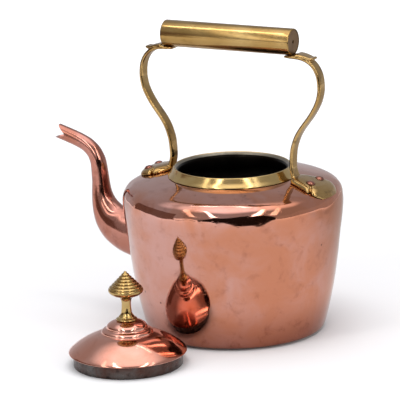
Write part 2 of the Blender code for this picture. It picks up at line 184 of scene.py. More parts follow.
black, brown = flag_cloth("black_cloth", "241D19"), flag_cloth("brown_cloth", "806C63")
grey, haze = flag_cloth("grey_cloth", "C6C3C0", soft=True), flag_cloth("haze_cloth", "C4C4C8")
lying = floor_z + 0.001

# The dark band along the shoulder: black flags in front, and black cloth on the floor
FRONT = (                   # bearing, top of the flag there, start of the cloth there
    (-36, 0.18, 1.4), (-18, 0.34, 1.2), (0, 0.72, 0.62), (20, 0.80, 0.62), (38, 0.30, 1.3),
)
for number, ((start, rise, near), (stop, fall, nearer)) in enumerate(zip(FRONT, FRONT[1:])):
    foot = [around(start, FLAG_AWAY, lying), around(stop, FLAG_AWAY, lying)]
    card(f"front_flag_{number}", foot + [around(stop, FLAG_AWAY, fall),
                                         around(start, FLAG_AWAY, rise)], black)
    card(f"front_cloth_{number}", [around(start, near, lying), around(stop, nearer, lying)]
         + foot[::-1], black)
flag("left_cloth", black, (-78, -38), (1.3, FLAG_AWAY), (lying, lying))
flag("left_flag", brown, (-116, -62), (1.3, 1.3), (lying, 0.62))

# Pale cloths at the back calm the far edge of the shoulder and the sides of the body
HAZE_STEP = 20
for number, start in enumerate(range(40, 240, HAZE_STEP)):
    flag(f"haze_{number}", haze, (start, start + HAZE_STEP), (1.6, 1.6), (lying, 0.4))
card("rear_cloth", [(-1.3, 0.0, lying), (1.1, 0.0, lying), (1.1, 1.7, lying),
                    (-1.3, 1.7, lying)], grey)

# Strip lights, drawn in the shoulder and the lid as white streaks
bright = flag_cloth("strip_bright", "FFFFFF", 7.0)
faint = flag_cloth("strip_faint", "FFFFFF", 2.6)
strip("strip_left", bright, (-18, -60), (17, 66), 9)
strip("strip_far_left", faint, (-42, -84), (14, 60), 11)
strip("strip_right", bright, (21, 58), (17, 66), 9)
strip("strip_far_right", faint, (38, 76), (17, 62), 9)
grip_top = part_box("grip_tube")[1].z
card("grip_strip", [(x, y, grip_top + 0.03) for x, y in (
    (-0.095, -0.0225), (0.055, -0.0225), (0.055, -0.0160), (-0.095, -0.0160))], bright)


def softbox(name, place, size, power):
    """A rectangular white light, aimed at the kettle and hidden from the camera."""
    light = bpy.data.lights.new(name, "AREA")
    light.shape = "RECTANGLE"
    light.size, light.size_y = size
    light.energy = power
    lamp = placed(name, light)
    lamp.location = place
    lamp.rotation_euler = (MIDDLE - lamp.location).to_track_quat("-Z", "Y").to_euler()
    lamp.visible_camera = lamp.visible_glossy = False


softbox("softbox_left", around(-52, 1.7, 0.75), (0.40, 0.9), 6)
softbox("softbox_right", around(50, 1.7, 0.75), (0.35, 0.9), 5)
softbox("softbox_top", (0.1, -0.4, 2.4), (1.3, 0.35), 9)

# The air gives light from all round, and most from straight above
world = bpy.data.worlds.new("studio_air")
world.use_nodes = True
air = world.node_tree
air.nodes.clear()
way = add(air, "ShaderNodeTexCoord")
height = add(air, "ShaderNodeSeparateXYZ", inputs={"Vector": way.outputs["Generated"]})
fade = add(air, "ShaderNodeMapRange", {"interpolation_type": "SMOOTHSTEP"}, {
    "Value": height.outputs["Z"], "From Min": 0.70, "From Max": 1.0,
    "To Min": 0.50, "To Max": 2.20})
glow = add(air, "ShaderNodeBackground", inputs={
    "Color": colour("FAFAFF"), "Strength": fade.outputs[0]})
add(air, "ShaderNodeOutputWorld", inputs={"Surface": glow.outputs[0]})
bpy.context.scene.world = world
bpy.context.scene.view_settings.view_transform = "Standard"

lens = bpy.data.cameras.new("camera")
lens.lens = CAMERA_LENS
lens.clip_end = 100
camera = placed("camera", lens)
back = CAMERA_RIGHT.cross(CAMERA_UP)
camera.matrix_world = Matrix.Translation(CAMERA_PLACE) @ Matrix(
    (CAMERA_RIGHT, CAMERA_UP, back)).transposed().to_4x4()
bpy.context.scene.camera = camera


# --- Base ---------------------------------------------------------------------
# A flat disc of 1.2 mm copper sheet. Its rim turns up inside the body's lower edge,
# where it is soldered; only its curved heel shows.

SHEET = 0.0012              # thickness of the copper
GAP = 0.0003                # room left between pieces that lie against each other


def new_object(name, bm, *materials):
    """A smooth object from a bmesh, with its normals outwards."""
    bmesh.ops.recalc_face_normals(bm, faces=bm.faces)
    mesh = bpy.data.meshes.new(name)
    bm.to_mesh(mesh)
    bm.free()
    mesh.shade_smooth()
    for material in materials:
        mesh.materials.append(material)
    return placed(name, mesh)


def crisp(piece, degrees):
    """Shade a piece smooth, but sharp where it bends by more than an angle."""
    piece.data.shade_smooth()
    piece.data.set_sharp_from_angle(angle=math.radians(degrees))


def turned(name, profile, *materials, steps=144, place=None, sharp=40.0, inner_from=None):
    """A profile (radius, height) turned round Z; open at no point but the axis.

    Faces of profile points from inner_from on take the second material.
    """
    bm = bmesh.new()
    on_axis = profile[0][0] < 1e-6
    rings = []
    for r, z in profile:
        if r < 1e-6:
            rings.append([bm.verts.new((0, 0, z))])
        else:
            rings.append([bm.verts.new((r * math.cos(2 * math.pi * k / steps),
                                        r * math.sin(2 * math.pi * k / steps), z))
                          for k in range(steps)])
    pairs = list(zip(rings, rings[1:]))
    if not on_axis:
        pairs.append((rings[-1], rings[0]))
    for row, (low, high) in enumerate(pairs):
        for k in range(steps):
            ring = [low[k % len(low)], low[(k + 1) % len(low)],
                    high[(k + 1) % len(high)], high[k % len(high)]]
            face = bm.faces.new(list(dict.fromkeys(ring)))
            face.material_index = int(inner_from is not None and row >= inner_from)
    made = new_object(name, bm, *materials)
    if place:
        made.data.transform(place)
    crisp(made, sharp)
    return made


def fitted(piece, body, slot, *nodes):
    """Put a finished piece on its body, in place of CAD nodes."""
    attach(piece, body)
    if nodes:
        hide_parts(*nodes)


def worn_metal(name, tones, rough, grain=0.12, scratch=0.25, stain=0.35, lean=0.0,
               darker_below=(0.0, 0.0, 0.05), centre=(0, 0, 0), spots=0.0, fine=1.0):
    """A polished metal gone patchy with use.

    Tones are its clean, warm and tarnished colours, rough its lowest and highest
    roughness. Grain is the strength of the polishing lines, which run round the
    centre's Z axis, and scratch that of stray marks; stain and spots say how strong
    the tarnished films are and how many specks there are. Lean makes it warmer
    towards +X. Darker_below is how far it turns to the tarnished colour downwards, and
    between which heights; in the collar's throat this is painted shade. Fine makes
    patches and films that many times smaller.
    """
    material, tree = blank_material(name)
    spot = add(tree, "ShaderNodeTexCoord").outputs["Object"]
    local = add(tree, "ShaderNodeMapping", inputs={
        "Vector": spot, "Location": [-c for c in centre]}).outputs[0]
    split = add(tree, "ShaderNodeSeparateXYZ", inputs={"Vector": local})
    turn = add(tree, "ShaderNodeMath", {"operation": "ARCTAN2"}, {
        0: split.outputs["Y"], 1: split.outputs["X"]})
    # Polishing lines about 50 mm long round the axis and 1 mm wide; the real ones
    # are finer, too fine to show
    hoop = add(tree, "ShaderNodeCombineXYZ", inputs={
        "X": turn.outputs[0], "Z": split.outputs["Z"]})
    stretched = add(tree, "ShaderNodeMapping", inputs={
        "Vector": hoop.outputs[0], "Scale": (2.0, 1.0, 700.0)})
    lines = add(tree, "ShaderNodeTexNoise", inputs={
        "Vector": stretched.outputs[0], "Scale": 1.0, "Detail": 3.0})
    # Patches of tone 30 to 60 mm across, with ragged edges
    patch = add(tree, "ShaderNodeTexNoise", inputs={
        "Vector": local, "Scale": 22.0 * fine, "Detail": 5.0, "Roughness": 0.55,
        "Distortion": 0.6})
    leaning = add(tree, "ShaderNodeMath", {"operation": "MULTIPLY_ADD"}, {
        0: split.outputs["X"], 1: lean, 2: patch.outputs["Fac"]})
    patch_share = add(tree, "ShaderNodeMapRange", {"interpolation_type": "SMOOTHSTEP"}, {
        "Value": leaning.outputs[0], "From Min": 0.25, "From Max": 0.75})
    # Tarnish in films 5 to 15 mm across
    film = add(tree, "ShaderNodeTexNoise", inputs={
        "Vector": local, "Scale": 75.0 * fine, "Detail": 6.0, "Roughness": 0.65,
        "Distortion": 0.4})
    film_share = add(tree, "ShaderNodeMapRange", {"interpolation_type": "SMOOTHSTEP"}, {
        "Value": film.outputs["Fac"], "From Min": 0.50, "From Max": 0.78, "To Max": stain})
    low_down = add(tree, "ShaderNodeMapRange", {"interpolation_type": "SMOOTHSTEP"}, {
        "Value": split.outputs["Z"], "From Min": darker_below[1], "From Max": darker_below[2],
        "To Min": darker_below[0], "To Max": 0.0})
    tarnish_and_darkening = add(tree, "ShaderNodeMath", {"operation": "ADD", "use_clamp": True}, {
        0: film_share.outputs[0], 1: low_down.outputs[0]})
    # Specks about 2 mm wide, where a water drop has dried
    drops = add(tree, "ShaderNodeTexVoronoi", inputs={"Vector": local, "Scale": 85.0})
    dot = add(tree, "ShaderNodeMapRange", inputs={
        "Value": drops.outputs["Distance"], "From Min": 0.05, "From Max": 0.11,
        "To Min": 1.0, "To Max": 0.0})
    pick = add(tree, "ShaderNodeSeparateColor", inputs={"Color": drops.outputs["Color"]})
    chosen = add(tree, "ShaderNodeMath", {"operation": "LESS_THAN"}, {
        0: pick.outputs[0], 1: spots})
    speck = add(tree, "ShaderNodeMath", {"operation": "MULTIPLY"}, {
        0: dot.outputs[0], 1: chosen.outputs[0]})
    # Clean metal, then the warm patches, the films and the darkening by height (painted shade in
    # the throat), and the specks over it
    tone = colour(tones[0])
    for share, over in ((patch_share, tones[1]), (tarnish_and_darkening, tones[2]), (speck, "4A3029")):
        tone = add(tree, "ShaderNodeMix", {"data_type": "RGBA"}, {
            0: share.outputs[0], 6: tone, 7: colour(over)}).outputs[2]
    dull = add(tree, "ShaderNodeMapRange", inputs={
        "Value": film.outputs["Fac"], "From Min": 0.35, "From Max": 0.75,
        "To Min": rough[0], "To Max": rough[1]})
    # Stray scratches about 15 mm long, slanted across the surface
    slanted = add(tree, "ShaderNodeMapping", inputs={
        "Vector": local, "Rotation": (0.5, 0.4, 0.9), "Scale": (60.0, 420.0, 420.0)})
    marks = add(tree, "ShaderNodeTexNoise", inputs={
        "Vector": slanted.outputs[0], "Scale": 1.0, "Detail": 2.0})
    deep = add(tree, "ShaderNodeMapRange", inputs={
        "Value": marks.outputs["Fac"], "From Min": 0.66, "From Max": 0.72,
        "To Min": 1.0, "To Max": 0.0})
    relief = add(tree, "ShaderNodeBump", inputs={
        "Strength": grain, "Distance": 0.0002, "Height": lines.outputs["Fac"]})
    relief = add(tree, "ShaderNodeBump", inputs={
        "Strength": scratch, "Distance": 0.0002, "Height": deep.outputs[0],
        "Normal": relief.outputs[0]})
    shader = add(tree, "ShaderNodeBsdfPrincipled", inputs={
        "Base Color": tone, "Metallic": 1.0,
        "Roughness": dull.outputs[0], "Normal": relief.outputs[0]})
    add(tree, "ShaderNodeOutputMaterial", inputs={"Surface": shader.outputs[0]})
    return material


# Polished copper: pink where clean, orange where a film has formed and more so
# towards +X, and darker towards the bottom. It shows the studio nearly as a mirror does
copper = worn_metal("polished_copper", ("C5968B", "BF7E62", "875040"), (0.035, 0.13),
                    grain=0.05, scratch=0.10, stain=0.42, lean=1.6,
                    darker_below=(0.70, 0.0, 0.050), spots=0.10)
# Tin on the inside, gone matt; its colour is painted nearly black, as painted shade inside the
# hollow pieces
tin_in_painted_shade = worn_metal("tin_in_painted_shade", ("4A4642", "3B3632", "1E1A18"), (0.45, 0.65),
                           stain=0.6)

FLAT = 0.0800               # radius of the flat underside
HEEL = (0.0888, 0.0025)     # where the body's wall starts
BASE_TOP, BASE_LEAN = 0.0060, 0.0018    # height of the base's rim, and how far it leans out
rim_out = HEEL[0] - SHEET - GAP
base_outside = [(0, 0), (FLAT, 0), (FLAT + 0.002, 0.0003), (FLAT + 0.005, 0.0010),
                (rim_out, HEEL[1]), (rim_out + BASE_LEAN, BASE_TOP)]
base_inside = [(rim_out + BASE_LEAN - SHEET, BASE_TOP), (rim_out - SHEET, HEEL[1]),
               (FLAT + 0.0043, 0.0021), (FLAT, SHEET), (0, SHEET)]
base = turned("base", base_outside + base_inside, copper, tin_in_painted_shade,
              inner_from=len(base_outside))
fitted(base, "kettle", "copper", "base_plate")


# --- Body ---------------------------------------------------------------------
# Raised from one sheet of copper: walls that widen upwards, a tight shoulder and a
# neck turned up for the collar. Years of use left shallow waves round the shoulder.

BODY_OUTLINE = (
    HEEL, (0.0906, 0.0060), (0.0945, 0.0210), (0.0998, 0.0460), (0.1036, 0.0710),
    (0.1066, 0.0960), (0.1094, 0.1180), (0.1104, 0.1320), (0.1097, 0.1405),
    (0.1066, 0.1463), (0.1005, 0.1500), (0.0930, 0.1523), (0.0850, 0.1542),
    (0.0750, 0.1562), (0.0646, 0.1577), (0.0585, 0.1582),
)
NECK_RADIUS = 0.0567
NECK_FOOT = 0.1585          # height at which the neck turns up
SHOULDER_Z = 0.139          # height of the tightest bend
TURNS = 192                 # steps round the body and what is cut to fit it


def flowing(points, steps):
    """A smooth line (Catmull-Rom) through points of any number of values."""
    ends = [points[0]] + list(points) + [points[-1]]
    line = []
    for a, b, c, d in zip(ends, ends[1:], ends[2:], ends[3:]):
        for step in range(steps):
            t = step / steps
            line.append(tuple(
                0.5 * (2 * q + (r - p) * t + (2 * p - 5 * q + 4 * r - s) * t * t
                       + (3 * q - p - 3 * r + s) * t ** 3)
                for p, q, r, s in zip(a, b, c, d)))
    line.append(tuple(points[-1]))
    return line


def offset(line, distance):
    """The line moved sideways by distance, to the left of its direction."""
    moved = []
    for i, (r, z) in enumerate(line):
        before, after = line[max(i - 1, 0)], line[min(i + 1, len(line) - 1)]
        along = Vector((after[0] - before[0], after[1] - before[1])).normalized()
        moved.append((r - along.y * distance, z + along.x * distance))
    return moved


body_line = flowing(BODY_OUTLINE, 5)
neck_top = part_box("body_shell")[1].z
outside = body_line + [(NECK_RADIUS + 0.0003, NECK_FOOT), (NECK_RADIUS, 0.1592),
                       (NECK_RADIUS, neck_top)]
inside = offset(outside, SHEET)
inside[-3:] = [(NECK_RADIUS - SHEET, 0.1576), (NECK_RADIUS - SHEET, NECK_FOOT),
               (NECK_RADIUS - SHEET, neck_top)]
body = turned("body", outside + inside[::-1], copper, tin_in_painted_shade, steps=TURNS,
              inner_from=len(outside) - 1)

WAVE_DEEP, WAVE_FLAT = 0.00085, 0.00008     # waves of the shoulder, and of the walls
WAVE_ZONE = 0.012           # how far up and down the shoulder's waves reach
EVEN_LOW, EVEN_HIGH = 0.008, 0.1500     # no waves below and above, where pieces fit
for vert in body.data.vertices:
    place = vert.co.copy()
    out = Vector((place.x, place.y, 0)).normalized()
    near = math.exp(-((place.z - SHOULDER_Z) / WAVE_ZONE) ** 2)
    depth = WAVE_FLAT + (WAVE_DEEP - WAVE_FLAT) * near
    if place.z > EVEN_HIGH or place.z < EVEN_LOW:
        depth = 0.0
    # Waves about 26 mm long, and half as deep ones about 12 mm long
    wave = noise.noise(place * 38.0 + Vector((3.1, 7.7, 1.3)))
    wave += 0.5 * noise.noise(place * 85.0)
    push = out if place.z < SHOULDER_Z else (out + Vector((0, 0, 1))).normalized()
    vert.co += push * wave * depth


def apply_all(piece):
    """Turn what the modifiers make of a piece into its plain mesh."""
    bpy.context.view_layer.update()
    graph = bpy.context.evaluated_depsgraph_get()
    result = bpy.data.meshes.new_from_object(piece.evaluated_get(graph))
    piece.modifiers.clear()
    piece.data = result
    return result


def cut(piece, *cutters):
    """Take the cutters from a piece one by one, and remove them."""
    for cutter in cutters:
        step = piece.modifiers.new("cut", "BOOLEAN")
        step.operation = "DIFFERENCE"
        step.solver = "EXACT"
        step.object = cutter
        apply_all(piece)
        bpy.data.objects.remove(cutter, do_unlink=True)


def loft(name, rings, *materials):
    """A closed skin over rings of points, with both ends filled."""
    bm = bmesh.new()
    loops = [[bm.verts.new(p) for p in ring] for ring in rings]
    count = len(rings[0])
    for low, high in zip(loops, loops[1:]):
        for i in range(count):
            j = (i + 1) % count
            bm.faces.new((low[i], low[j], high[j], high[i]))
    bm.faces.new(list(reversed(loops[0])))
    bm.faces.new(loops[-1])
    return new_object(name, bm, *materials)


# The hole for the spout: half its width, half its height, and the height of its middle
HOLE_WIDE, HOLE_TALL, HOLE_Z = 0.014, 0.017, 0.084
ROUND = [math.pi * k / 24 for k in range(48)]           # angles of a round outline
oval = [(HOLE_WIDE * math.cos(a), HOLE_Z + HOLE_TALL * math.sin(a)) for a in ROUND]
cut(body, loft("cutter", [[(x, y, z) for y, z in oval] for x in (-0.125, -0.085)]))
crisp(body, 35)
fitted(body, "kettle", "copper", "body_shell")


# --- Collar -------------------------------------------------------------------
# Cast and turned brass: a flared skirt on the shoulder, a rolled lip, and a throat
# that guides the lid's rim. It is soldered over the body's neck.

# Brass polished bright and pale, and its throat dulled by the rubbing lid; lower down the throat
# is painted nearly black, as painted shade inside the neck
pale_brass = worn_metal("turned_brass_pale", ("CDB682", "BA995E", "7E6538"), (0.10, 0.24),
                        grain=0.10, scratch=0.12, stain=0.35)
dull_brass_with_painted_shade = worn_metal("brass_throat", ("948D7F", "7D7668", "14110E"), (0.26, 0.40),
                        stain=0.3, darker_below=(1.0, 0.1644, 0.1652))
SKIRT_RADIUS, LIP_RADIUS, BORE_RADIUS = 0.0646, 0.0584, 0.0540
COLLAR_WALL = 0.0011
SKIRT_Z = 0.1581            # where the skirt meets the shoulder
throat_z, lip_z = (corner.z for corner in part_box("collar"))
collar_outside = flowing([
    (SKIRT_RADIUS, SKIRT_Z), (SKIRT_RADIUS - 0.0003, SKIRT_Z + 0.0008),
    (SKIRT_RADIUS - 0.0030, SKIRT_Z + 0.0040), (LIP_RADIUS + 0.0010, lip_z - 0.0014),
    (LIP_RADIUS + 0.0005, lip_z - 0.0004), (LIP_RADIUS - 0.0004, lip_z),
    (LIP_RADIUS - 0.0013, lip_z - 0.0005)], 5)
collar_inside = [
    (BORE_RADIUS + 0.0004, lip_z - 0.0038), (BORE_RADIUS, lip_z - 0.0048),
    (BORE_RADIUS, throat_z), (BORE_RADIUS + COLLAR_WALL, throat_z),
    (BORE_RADIUS + COLLAR_WALL, lip_z - 0.0052), (LIP_RADIUS - 0.0006, lip_z - 0.0019),
    (SKIRT_RADIUS - COLLAR_WALL - 0.0008, SKIRT_Z + 0.0012),
    (SKIRT_RADIUS - COLLAR_WALL, SKIRT_Z)]
# The dull tone starts just over the lip
collar = turned("collar_ring", collar_outside + collar_inside, pale_brass, dull_brass_with_painted_shade,
                steps=160, inner_from=len(collar_outside) - 2, sharp=30)
fitted(collar, "kettle", "brass", "collar")


# --- Spout --------------------------------------------------------------------
# A swan neck of copper sheet, seamed and brazed, that tapers to a forked mouth and
# flares to the body, where it is brazed over the hole.

SPOUT_LINE = (              # x, z, radius, width over height
    (-0.2004, 0.1861, 0.0074, 1.00), (-0.1844, 0.1812, 0.0074, 1.00),
    (-0.1751, 0.1780, 0.0074, 1.00), (-0.1663, 0.1738, 0.0075, 1.00),
    (-0.1596, 0.1680, 0.0077, 1.00), (-0.1559, 0.1616, 0.0080, 1.00),
    (-0.1539, 0.1550, 0.0083, 0.99), (-0.1523, 0.1395, 0.0090, 0.97),
    (-0.1518, 0.1315, 0.0097, 0.95), (-0.1510, 0.1235, 0.0109, 0.93),
    (-0.1492, 0.1155, 0.0128, 0.90), (-0.1460, 0.1077, 0.0154, 0.87),
    (-0.1410, 0.1000, 0.0183, 0.84), (-0.1338, 0.0937, 0.0210, 0.82),
    (-0.1245, 0.0890, 0.0228, 0.80), (-0.1140, 0.0855, 0.0236, 0.80),
    (-0.1000, 0.0830, 0.0240, 0.80),
)
SPOUT_WALL = 0.0011
NOTCH = Vector((-0.1882, 0, 0.1829))    # bottom of the forked mouth
JAWS = (136.0, 191.5)       # which way its two edges run from there, in degrees
# Browner and duller than the body: more tarnish, and a darker tone that is painted shade for the
# dark the spout reflects
spout_copper = worn_metal("spout_copper", ("B98478", "A76B57", "582F26"), (0.10, 0.20),
                          grain=0.0, scratch=0.10, stain=0.55)


def open_tree(name, **sockets):
    """A new Geometry Nodes tree and its inputs, named here with their kinds."""
    tree = bpy.data.node_groups.new(name, "GeometryNodeTree")
    for label, kind in sockets.items():
        tree.interface.new_socket(label, in_out="INPUT", socket_type=f"NodeSocket{kind}")
    tree.interface.new_socket("Geometry", in_out="OUTPUT", socket_type="NodeSocketGeometry")
    return tree, add(tree, "NodeGroupInput").outputs


def close_tree(tree, shape, material):
    """Make the shape real, give it its material and end the tree."""
    real = add(tree, "GeometryNodeRealizeInstances", inputs={"Geometry": shape})
    done = add(tree, "GeometryNodeSetMaterial", inputs={
        "Geometry": real.outputs[0], "Material": material})
    add(tree, "NodeGroupOutput", inputs={"Geometry": done.outputs[0]})
    return tree


def sweep_tree():
    """Geometry Nodes that sweep a profile along a path in the plane y = 0.

    The path is a mesh of edges, with its half width and half thickness stored on
    its points as "wide" and "tall". The profile is a closed curve of size 1.
    """
    tree, given = open_tree("sweep_along_path", Path="Geometry", Profile="Object",
                            Shrink="Float", Material="Material")
    rail = add(tree, "GeometryNodeMeshToCurve", inputs={"Mesh": given["Path"]})
    for word, kind in (("centre", "InputPosition"), ("ahead", "InputTangent")):
        rail = add(tree, "GeometryNodeStoreNamedAttribute", {"data_type": "FLOAT_VECTOR"}, {
            "Geometry": rail.outputs[0], "Name": word,
            "Value": add(tree, "GeometryNode" + kind).outputs[0]})
    shape = add(tree, "GeometryNodeObjectInfo", inputs={"Object": given["Profile"]})
    outline = add(tree, "GeometryNodeMeshToCurve", inputs={"Mesh": shape.outputs["Geometry"]})
    drawn = add(tree, "GeometryNodeStoreNamedAttribute", {"data_type": "FLOAT_VECTOR"}, {
        "Geometry": outline.outputs[0], "Name": "drawn",
        "Value": add(tree, "GeometryNodeInputPosition").outputs[0]})
    skin = add(tree, "GeometryNodeCurveToMesh", inputs={
        "Curve": rail.outputs[0], "Profile Curve": drawn.outputs[0], "Fill Caps": True})
    stored = {}
    for word, kind in (("centre", "FLOAT_VECTOR"), ("ahead", "FLOAT_VECTOR"),
                       ("drawn", "FLOAT_VECTOR"), ("wide", "FLOAT"), ("tall", "FLOAT")):
        stored[word] = add(tree, "GeometryNodeInputNamedAttribute", {"data_type": kind},
                           {"Name": word}).outputs["Attribute"]
    flat = add(tree, "ShaderNodeSeparateXYZ", inputs={"Vector": stored["drawn"]})
    up = add(tree, "ShaderNodeVectorMath", {"operation": "CROSS_PRODUCT"}, {
        0: stored["ahead"], 1: (0, 1, 0)})
    sizes = []
    for word, axis in (("wide", "X"), ("tall", "Y")):
        less = add(tree, "ShaderNodeMath", {"operation": "SUBTRACT"}, {
            0: stored[word], 1: given["Shrink"]})
        sizes.append(add(tree, "ShaderNodeMath", {"operation": "MULTIPLY"}, {
            0: less.outputs[0], 1: flat.outputs[axis]}).outputs[0])
    sideways = add(tree, "ShaderNodeCombineXYZ", inputs={"Y": sizes[0]})
    upwards = add(tree, "ShaderNodeVectorMath", {"operation": "SCALE"}, {
        0: up.outputs[0], "Scale": sizes[1]})
    moved = add(tree, "ShaderNodeVectorMath", {"operation": "ADD"}, {
        0: sideways.outputs[0], 1: upwards.outputs[0]})
    moved = add(tree, "ShaderNodeVectorMath", {"operation": "ADD"}, {
        0: moved.outputs[0], 1: stored["centre"]})
    swelled = add(tree, "GeometryNodeSetPosition", inputs={
        "Geometry": skin.outputs[0], "Position": moved.outputs[0]})
    return close_tree(tree, swelled.outputs[0], given["Material"])


def run_tree(piece, tree, **values):
    """Run a Geometry Nodes tree on a piece and keep the result as its mesh."""
    step = piece.modifiers.new("nodes", "NODES")
    step.node_group = tree
    for item in tree.interface.items_tree:
        if item.in_out == "INPUT" and item.name in values:
            step[item.identifier] = values[item.name]
    mesh = apply_all(piece)
    for name in [a.name for a in mesh.attributes
                 if a.name in ("centre", "ahead", "drawn", "wide", "tall", "lean")]:
        mesh.attributes.remove(mesh.attributes[name])
    mesh.shade_smooth()
    return piece


def outline_object(points):
    """A closed outline of edges in the XY plane, as a profile for the sweep."""
    mesh = bpy.data.meshes.new("profile")
    mesh.from_pydata([(x, y, 0) for x, y in points],
                     [(i, (i + 1) % len(points)) for i in range(len(points))], [])
    return placed("profile", mesh)


def swept(name, stations, profile, material, shrink=0.0):
    """Sweep the profile along stations of x, z, half width and half thickness."""
    mesh = bpy.data.meshes.new(name)
    mesh.from_pydata([(x, 0, z) for x, z, _, _ in stations],
                     [(i, i + 1) for i in range(len(stations) - 1)], [])
    for column, word in ((2, "wide"), (3, "tall")):
        store = mesh.attributes.new(word, "FLOAT", "POINT")
        store.data.foreach_set("value", [station[column] for station in stations])
    made = placed(name, mesh)
    run_tree(made, sweeping, Profile=profile, Shrink=shrink, Material=material)
    bm = bmesh.new()
    bm.from_mesh(made.data)
    bmesh.ops.remove_doubles(bm, verts=bm.verts, dist=1e-6)
    bmesh.ops.recalc_face_normals(bm, faces=bm.faces)
    bm.to_mesh(made.data)
    bm.free()
    return made


sweeping = sweep_tree()
circle = outline_object([(math.cos(a), math.sin(a)) for a in ROUND])
route = [(x, z, r * ratio, r) for x, z, r, ratio in flowing(SPOUT_LINE, 6)]
spout = swept("spout_neck", route, circle, spout_copper)
# The bore runs on straight past both ends of the spout
longer = [(2 * route[0][0] - route[6][0], 2 * route[0][1] - route[6][1], *route[0][2:])]
longer += route + [(2 * route[-1][0] - route[-7][0], 2 * route[-1][1] - route[-7][1],
                    *route[-1][2:])]
bore = swept("cutter", longer, circle, tin_in_painted_shade, shrink=SPOUT_WALL)
jaws = [NOTCH] + [NOTCH + 0.04 * Vector((math.cos(a), 0, math.sin(a)))
                  for a in map(math.radians, JAWS)]
wedge = loft("cutter", [[p + Vector((0, y, 0)) for p in jaws] for y in (-0.02, 0.02)])
core_low, core_high = 0.03, 0.13
wall = [(r + GAP, z) for r, z in body_line if core_low < z < core_high]
core = turned("cutter", [(0, core_low)] + wall + [(0, core_high)], steps=TURNS)
cut(spout, bore, wedge, core)
bpy.data.objects.remove(circle, do_unlink=True)
crisp(spout, 40)
fitted(spout, "kettle", "copper", "spout")


# --- Handle castings ----------------------------------------------------------
# Two brass castings, each one piece: a flat bar in an S curve, a dished seat with a
# leaf under the grip, and a crowned foot plate with two lobes on each side.

# Cast brass, polished, and brown where it has tarnished in patches
cast_brass = worn_metal("cast_brass", ("BB9D6A", "A3804B", "46331F"), (0.09, 0.24),
                        grain=0.0, scratch=0.25, stain=0.75)
# Distance from the middle, height, width and thickness of the bar: its foot, the even
# stretch in between, and its seat under the grip
BAR_FOOT = ((0.0704, 0.1585, 0.0155, 0.0050), (0.0693, 0.1620, 0.0142, 0.0044),
            (0.0676, 0.1675, 0.0132, 0.0041))
BAR_EVEN = ((0.0669, 0.1740), (0.0679, 0.1870), (0.0696, 0.1940), (0.0726, 0.2020),
            (0.0770, 0.2095), (0.0823, 0.2166), (0.0876, 0.2236), (0.0926, 0.2316),
            (0.0963, 0.2392), (0.0984, 0.2470), (0.0990, 0.2540), (0.0983, 0.2625),
            (0.0961, 0.2692), (0.0923, 0.2750))
BAR_SEAT = ((0.0870, 0.2793, 0.0135, 0.0042), (0.0810, 0.2820, 0.0150, 0.0044),
            (0.0745, 0.2830, 0.0170, 0.0042), (0.0680, 0.2828, 0.0170, 0.0032),
            (0.0622, 0.2829, 0.0140, 0.0024))
BAR = [*BAR_FOOT, *((x, z, 0.0130, 0.0040) for x, z in BAR_EVEN), *BAR_SEAT]
LEAF = (                    # the same for the leaf over the bar's end
    (0.0745, 0.2848, 0.0165, 0.0034), (0.0790, 0.2844, 0.0158, 0.0032),
    (0.0835, 0.2836, 0.0145, 0.0028), (0.0872, 0.2824, 0.0132, 0.0026),
    (0.0898, 0.2818, 0.0125, 0.0027), (0.0916, 0.2820, 0.0120, 0.0030),
    (0.0930, 0.2824, 0.0108, 0.0018),
)
PLATE_EDGE = {              # distance from the middle and half width, round one side
    "left": ((0.0668, 0.0000), (0.0672, 0.0070), (0.0695, 0.0130), (0.0730, 0.0175),
             (0.0765, 0.0208), (0.0792, 0.0225), (0.0814, 0.0172), (0.0836, 0.0228),
             (0.0880, 0.0225), (0.0940, 0.0195), (0.0990, 0.0125), (0.1030, 0.0000)),
    "right": ((0.0668, 0.0000), (0.0672, 0.0070), (0.0705, 0.0125), (0.0780, 0.0162),
              (0.0860, 0.0197), (0.0932, 0.0228), (0.0946, 0.0170), (0.0977, 0.0228),
              (0.1020, 0.0212), (0.1055, 0.0168), (0.1082, 0.0105), (0.1095, 0.0000)),
}
PLATE_CENTRE = 0.0862
PLATE_FLOOR = 0.1452        # height of the plate's flat underside, before it is fitted
# How far out a ring of the plate is, as a share of its edge, and how high it is crowned
CROWN = ((1.0, 0.0016), (0.97, 0.0028), (0.90, 0.0042), (0.80, 0.0052), (0.62, 0.0060),
         (0.4, 0.0063), (0.2, 0.0064))
VALLEY, VALLEY_WIDE = 0.0010, 0.0055    # the hollow that runs in from the notch
CASTING_SHIFT = 0.0010      # the castings stand a little to the right of the middle
RIVET_X, RIVET_Y = 0.0893, 0.0103
SHANK, HEAD, SEAT = 0.0022, 0.0043, 0.0052      # rivet: radii, and height of its seat
HEAD_PLAY = 0.0005          # room round a rivet's head
grip_low, grip_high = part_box("grip_tube")
GRIP_RADIUS = (grip_high.z - grip_low.z) / 2
GRIP_Z = (grip_high.z + grip_low.z) / 2
GRIP_HALF = (grip_high.x - grip_low.x) / 2
grip_turn = Matrix.Translation((0, 0, GRIP_Z)) @ Matrix.Rotation(math.pi / 2, 4, "Y")
shoulder_line = sorted((r, z) for r, z in body_line if z > 0.1315)


def shoulder(radius):
    """Height of the body's outer surface at a radius, on its upper part."""
    for (r0, z0), (r1, z1) in zip(shoulder_line, shoulder_line[1:]):
        if r0 <= radius <= r1:
            return z0 + (z1 - z0) * (radius - r0) / max(r1 - r0, 1e-9)
    return shoulder_line[-1][1] if radius > shoulder_line[-1][0] else shoulder_line[0][1]


